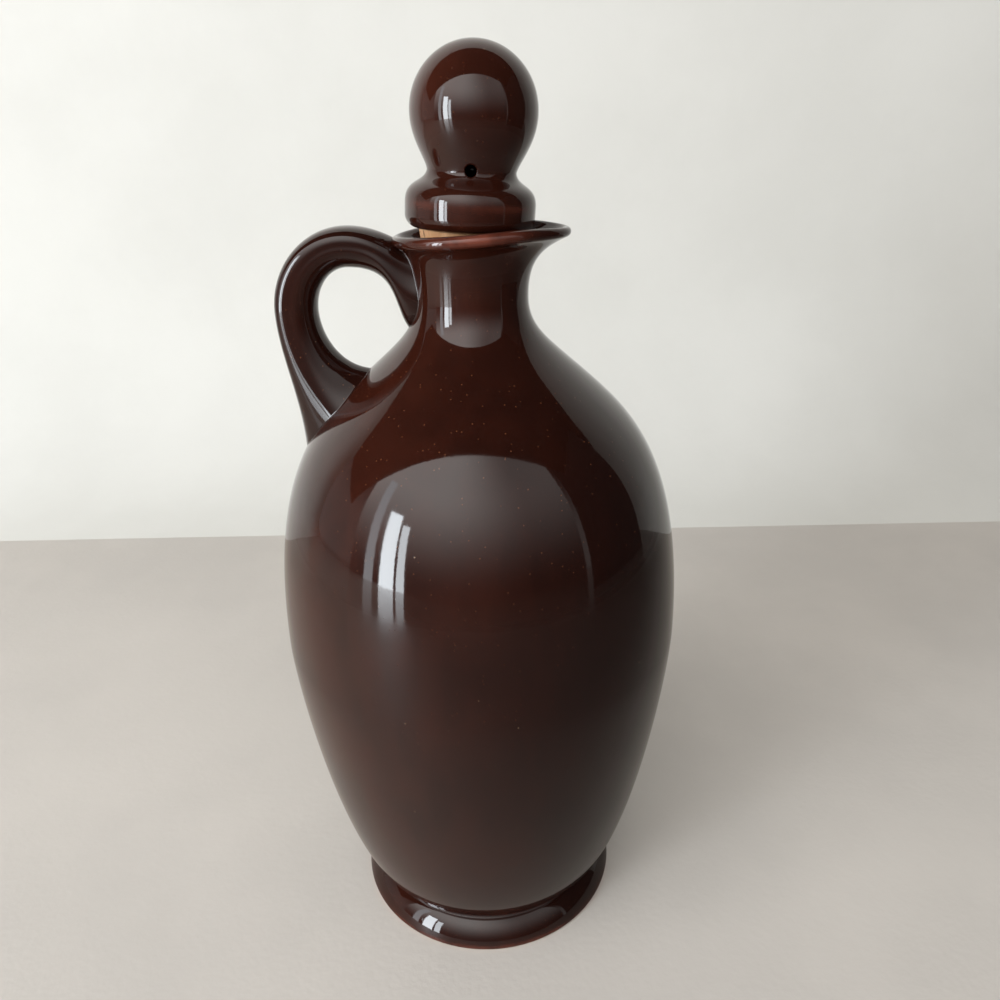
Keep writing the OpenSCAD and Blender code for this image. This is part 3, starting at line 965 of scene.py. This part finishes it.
def make_handle(material):
    """The strap handle, pressed on the neck and the shoulder with a bead of slip."""
    a = np.arange(HANDLE_SIDES) * 2 * np.pi / HANDLE_SIDES
    start, end = free_stretch(a)
    v = np.linspace(0, 1, HANDLE_RINGS)[:, None]
    dense_ends = v - CROWDING * np.sin(2 * np.pi * v) / (2 * np.pi)
    u = start + (end - start) * dense_ends
    grid = pressed_on(strap(u, np.broadcast_to(a, u.shape)))
    points, faces = closed_skin(grid)
    crest = CREST_THIN * np.exp(-((np.cos(a) - 1) / CREST_SPREAD) ** 2)
    thin = np.append(np.tile(crest, len(grid)), [0, 0])
    # The handle's mark takes most of the painted light and shade off the handle
    marks = {"thin": thin, "bare": np.zeros(len(points)), "handle_less_painted_light": np.ones(len(points))}
    return make_piece("decanter_handle", points, faces, material, marks)


# Stopper


def on_seat(points):
    """Stopper points from the knob's own frame to the leaning place on the rim."""
    lean = Matrix.Rotation(math.radians(KNOB_LEAN), 3, "Y")
    return points @ np.array(lean).T + [0, 0, SEAT_Z]


WAIST = np.array([WAIST_R, WAIST_Z])
EQUATOR = np.array([BALL_R, BALL_Z])
COLLAR_TOP = np.array([COLLAR_R, COLLAR_H])
SWEEP = curve(COLLAR_TOP, COLLAR_TOP + [0, COLLAR_ARM], [WAIST_R, COLLAR_H] + COLLAR_SWEEP, WAIST)
BULB = np.vstack([
    curve(WAIST, WAIST + WAIST_ARM, EQUATOR - [0, BULB_ARM], EQUATOR),
    arc([0, BALL_Z], BALL_R, 0, BALL_END, CURVE_STEPS)[1:],
])
# Stretch of the knob's outside that has the hollow behind it
SHELL = np.vstack([SWEEP[SWEEP[:, 1] > TENON_H + VENT_ROUND], BULB])
VENT_Z = WAIST_Z + VENT_RISE


def knob_outline():
    """Outline of the knob from the top of its hollow down to the socket, then up its outside."""
    hollow = inset(SHELL, KNOB_WALL)[::-1]
    socket_r = TENON_R + GLUE_GAP
    socket_top = [socket_r, TENON_H + GLUE_GAP]
    return np.vstack([
        hollow,
        line(hollow[-1], socket_top),
        line(socket_top, [socket_r, 0]),
        line([socket_r, 0], [COLLAR_R - COLLAR_ROUND, 0]),
        arc([COLLAR_R - COLLAR_ROUND, COLLAR_ROUND], COLLAR_ROUND, -90, 0)[1:],
        line([COLLAR_R, COLLAR_ROUND], COLLAR_TOP),
        SWEEP,
        BULB,
    ])


def border(rows, columns):
    """Places round a window of the grid between its first and last row and column, in order."""
    (low, high), (left, right) = rows, columns
    step = 1 if high > low else -1
    return (
        [(low, j) for j in range(left, right)]
        + [(i, right) for i in range(low, high, step)]
        + [(high, j) for j in range(right, left, -1)]
        + [(i, left) for i in range(high, low, -step)]
    )


def vent_rings(edge):
    """Rings from a window's edge to the vent, over the vent's soft edge and through the wall."""
    middle = np.array([0, VENT_Z])
    flat = edge[:, [0, 2]] - middle
    unit = flat / np.linalg.norm(flat, axis=1)[:, None]
    turn = np.radians(np.linspace(0, 90, EDGE_STEPS))
    lip_r = VENT_R + VENT_ROUND
    steps = [(share, lip_r, 0) for share in VENT_SHARES]
    steps += [(1, lip_r - VENT_ROUND * math.sin(t), VENT_ROUND * (1 - math.cos(t))) for t in turn]
    steps += [(1, VENT_R, depth) for depth in np.linspace(VENT_ROUND, KNOB_WALL, FLAT_STEPS)[1:]]
    rings = []
    for share, width, depth in steps:
        at = middle + flat * (1 - share) + unit * width * share
        r = np.interp(at[:, 1], SHELL[:, 1], SHELL[:, 0])
        y = depth - np.sqrt(np.maximum(r**2 - at[:, 0] ** 2, 0))
        rings.append(np.column_stack([at[:, 0], y, at[:, 1]]))
    return rings


def vent_windows(rows, columns):
    """First and last row of the windows in the knob's outer and inner wall, and their columns."""
    window = np.flatnonzero(np.abs(SHELL[:, 1] - VENT_Z) < VENT_WINDOW)[[0, -1]]
    front = columns // 4
    wide = round(VENT_WINDOW / WAIST_R / (2 * np.pi) * columns)
    return (rows - len(SHELL) + window, len(SHELL) - 1 - window), (front - wide, front + wide)


def vented(points, faces, rows, columns):
    """The knob's skin with a window cut in both walls, and the vent's rings between the two."""
    walls, across = vent_windows(rows, columns)
    cut = {(i, j) for wall in walls for i in range(*sorted(wall)) for j in range(*across)}
    kept = [(i, j) not in cut for i in range(rows - 1) for j in range(columns)]
    faces = [face for face, keep in zip(faces, kept) if keep] + faces[len(kept):]
    outer, inner = ([i * columns + j for i, j in border(wall, across)] for wall in walls)
    rings = vent_rings(points[outer])
    count, first = len(outer), len(points)
    tube = [list(range(first + k * count, first + (k + 1) * count)) for k in range(len(rings))]
    for a, b in zip([outer] + tube, tube + [inner]):
        faces += [[a[i], a[(i + 1) % count], b[(i + 1) % count], b[i]] for i in range(count)]
    return np.vstack([points] + rings), faces


def make_knob(material):
    """The hollow ball knob on its collar, with a soft-edged vent through the front of its waist."""
    angles = np.arange(KNOB_SIDES) * 2 * np.pi / KNOB_SIDES - np.pi
    outline = knob_outline()
    points, faces = closed_skin(turned(outline, angles))
    points, faces = vented(points, faces, len(outline), KNOB_SIDES)
    edge = np.hypot(points[:, 0], points[:, 1]) - COLLAR_R
    up = points[:, 2] - COLLAR_H
    thin = COLLAR_THIN * np.exp(-((edge / COLLAR_THIN_R) ** 2 + (up / COLLAR_THIN_Z) ** 2))
    marks = {"thin": thin, "bare": np.zeros(len(points))}
    return make_piece("stopper_knob", on_seat(points), faces, material, marks)


def cork_top(angles):
    """Height of the cork's top edge at each angle, where the leaning collar sits on it."""
    z = np.full(len(angles), float(SEAT_Z))
    for _ in range(SEAT_ROUNDS):
        z = SEAT_Z - GLUE_GAP - cork_r(z) * np.cos(angles) * math.tan(math.radians(KNOB_LEAN))
    return z


def pitted(grid):
    """Grid of the cork's side with small pits, sunk towards its axis."""
    sunk = grid.copy()
    for spot in sunk.reshape(-1, 3):
        x, y, z = spot
        depth = 0
        for across, along, shift, level in PITS:
            place = Vector((x * across + shift, y * across, z * along))
            depth += PIT_DEPTH * max(0, mathutils.noise.noise(place) - level)
        spot[:2] *= 1 - depth / math.hypot(x, y)
    return sunk


def make_cork(material):
    """The tapered cork, its pits, its bevelled tip and the tenon that is glued into the knob."""
    angles = np.arange(SIDES) * 2 * np.pi / SIDES
    tip_r = cork_r(TIP_Z)
    tip = line([FAN_R, TIP_Z], [tip_r - CORK_BEVEL, TIP_Z])
    bevel_z = TIP_Z + CORK_BEVEL
    share = np.linspace(0, 1, CORK_STEPS)[:, None]
    z = bevel_z + (cork_top(angles) - bevel_z) * share
    r = cork_r(z)
    side = np.dstack([r * np.cos(angles), r * np.sin(angles), z])
    seat = turned(np.array([[TENON_R, -GLUE_GAP], [TENON_R, TENON_H], [FAN_R, TENON_H]]), angles)
    grid = np.concatenate([turned(tip, angles), pitted(side), on_seat(seat)])
    points, faces = closed_skin(grid)
    return make_piece("stopper_cork", points, faces, material)


# Stage, light and camera


def make_sheet(name, outline, half_width, material):
    """Sheet along an outline of distance and height in metres, spread to both sides."""
    points = np.array([[x, y, z] for y, z in outline for x in (-half_width, half_width)])
    return make_piece(name, points / MM, grid_faces(len(outline), 2, closed=False), material)


def make_stage():
    """Plain pale floor, and a pale backdrop behind it that rises from the floor in a cove."""
    floor_look = stage_material("pale_floor", FLOOR_PALE, FLOOR_GREY, FLOOR_ROUGH, FLOOR_GRIT)
    wall_look = stage_material("pale_backdrop", WALL_PALE, WALL_GREY, WALL_ROUGH, WALL_GRIT)
    make_sheet("floor", [(-FLOOR_REACH, 0), (BACKDROP_Y, 0)], FLOOR_REACH, floor_look)
    cove = arc([BACKDROP_Y - COVE_R, COVE_R], COVE_R, -90, 0)
    make_sheet("backdrop", [*cove, (BACKDROP_Y, BACKDROP_TOP)], BACKDROP_HALF, wall_look)


def hide_from_camera(piece, reflected_only=False):
    """Studio gear, out of the picture and without shadow; a flag or sheet shows in reflections only."""
    piece.visible_camera = False
    piece.visible_shadow = False
    piece.visible_diffuse = not reflected_only


def seen_from_object(azimuth, elevation, distance):
    """Place at a direction and distance from the middle of the object."""
    a, e = np.broadcast_arrays(np.radians(azimuth), np.radians(elevation))
    out = np.stack([np.sin(a) * np.cos(e), -np.cos(a) * np.cos(e), np.sin(e)], axis=-1)
    return np.array(LIT_MIDDLE) + distance * out


def make_softbox(name, span, heights, distance, colour, strength, glow):
    """Curved panel of light that faces the object between two azimuths and two elevations."""
    azimuth, elevation = np.meshgrid(np.linspace(*span, PANEL_STEPS), np.linspace(*heights, PANEL_STEPS))
    points = seen_from_object(azimuth, elevation, distance).reshape(-1, 3)
    faces = grid_faces(PANEL_STEPS, PANEL_STEPS, closed=False)
    marks = {"glow": glow(azimuth, elevation).ravel()}
    hide_from_camera(make_piece(name, points / MM, faces, light_material(name, colour, strength), marks))


def panel_glow(azimuth, elevation):
    """Glow of the front panel: strong above and to the left, dim below and to the right."""
    rise = PANEL_DIM + (1 - PANEL_DIM) * smooth(elevation, *PANEL_RISE)
    return rise * (1 - (1 - PANEL_RIGHT) * smooth(azimuth, *PANEL_FALL))


def window_glow(azimuth, elevation):
    """Even glow of a window."""
    return np.ones_like(azimuth)


def make_flags():
    """A sloping flag overhead, an upright flag to the right, and a polished sheet on the floor with
    painted shade in front and to the right.
    """
    black = stage_material("black_flag", FLAG_BLACK, FLAG_BLACK, FLAG_ROUGH, FLAG_GRIT)
    hide_from_camera(make_sheet("top_flag", TOP_FLAG, TOP_FLAG_HALF, black), True)
    azimuth = np.linspace(*SIDE_FLAG_SPAN, PANEL_STEPS)
    low = seen_from_object(azimuth, 0, SIDE_FLAG_AWAY)
    low[:, 2] = SHEET_Z
    high = low + [0, 0, SIDE_FLAG_TOP]
    faces = grid_faces(2, PANEL_STEPS, closed=False)
    hide_from_camera(make_piece("side_flag", np.vstack([low, high]) / MM, faces, black), True)
    outline = [(-FLOOR_REACH, SHEET_Z), (BACKDROP_Y - COVE_R, SHEET_Z)]
    hide_from_camera(make_sheet("painted_shade_sheet", outline, FLOOR_REACH, sheet_material()), True)


def make_lights():
    """One large soft panel in front, and three narrow window panels to the left."""
    make_softbox("front_panel", PANEL_SPAN, PANEL_HEIGHTS, PANEL_AWAY,
                 PANEL_COLOUR, PANEL_STRENGTH, panel_glow)
    for name, left, right, low, high, strength in WINDOWS:
        make_softbox(name, (left, right), (low, high), WINDOW_AWAY,
                     WINDOW_COLOUR, strength, window_glow)


def make_world():
    """Dim world, lighter at the sides than overhead."""
    world = bpy.data.worlds.new("studio")
    bpy.context.scene.world = world
    world.use_nodes = True
    tree = world.node_tree
    view = axis_values(tree, tree.nodes.new("ShaderNodeTexCoord").outputs["Generated"])
    background = tree.nodes["Background"]
    background.inputs["Color"].default_value = (*WORLD_COLOUR, 1)
    tree.links.new(ranged(tree, view["Z"], *WORLD_FADE), background.inputs["Strength"])


def make_camera():
    """Camera at the photograph's angle: in front, above, looking down, tipped a little to the side."""
    camera = bpy.data.objects.new("camera", bpy.data.cameras.new("camera"))
    bpy.context.scene.collection.objects.link(camera)
    camera.data.lens = LENS
    camera.data.clip_start = CLIP_START
    down, tip = math.radians(CAMERA_DOWN), math.radians(CAMERA_TIP)
    ahead = Vector((0, math.cos(down), -math.sin(down)))
    up = Vector((0, math.sin(down), math.cos(down)))
    right = Vector((1, 0, 0))
    across = math.cos(tip) * right + math.sin(tip) * up
    upright = math.cos(tip) * up - math.sin(tip) * right
    turn = Matrix((across, upright, -ahead)).transposed()
    camera.matrix_world = Matrix.Translation(CAMERA_PLACE) @ turn.to_4x4()
    bpy.context.scene.camera = camera


def add(piece, body, node):
    """A finished piece stands for its solid and moves with its body."""
    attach(piece, body)
    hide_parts(node)


bpy.context.scene.view_settings.view_transform = "Standard"
make_camera()
make_stage()
make_lights()
make_world()
make_flags()
glaze = glaze_material()
add(make_vessel(glaze), "jug", "vessel")
add(make_handle(glaze), "jug", "handle")
add(make_knob(glaze), "stopper", "knob")
add(make_cork(cork_material()), "stopper", "cork")

bpy.context.view_layer.update()
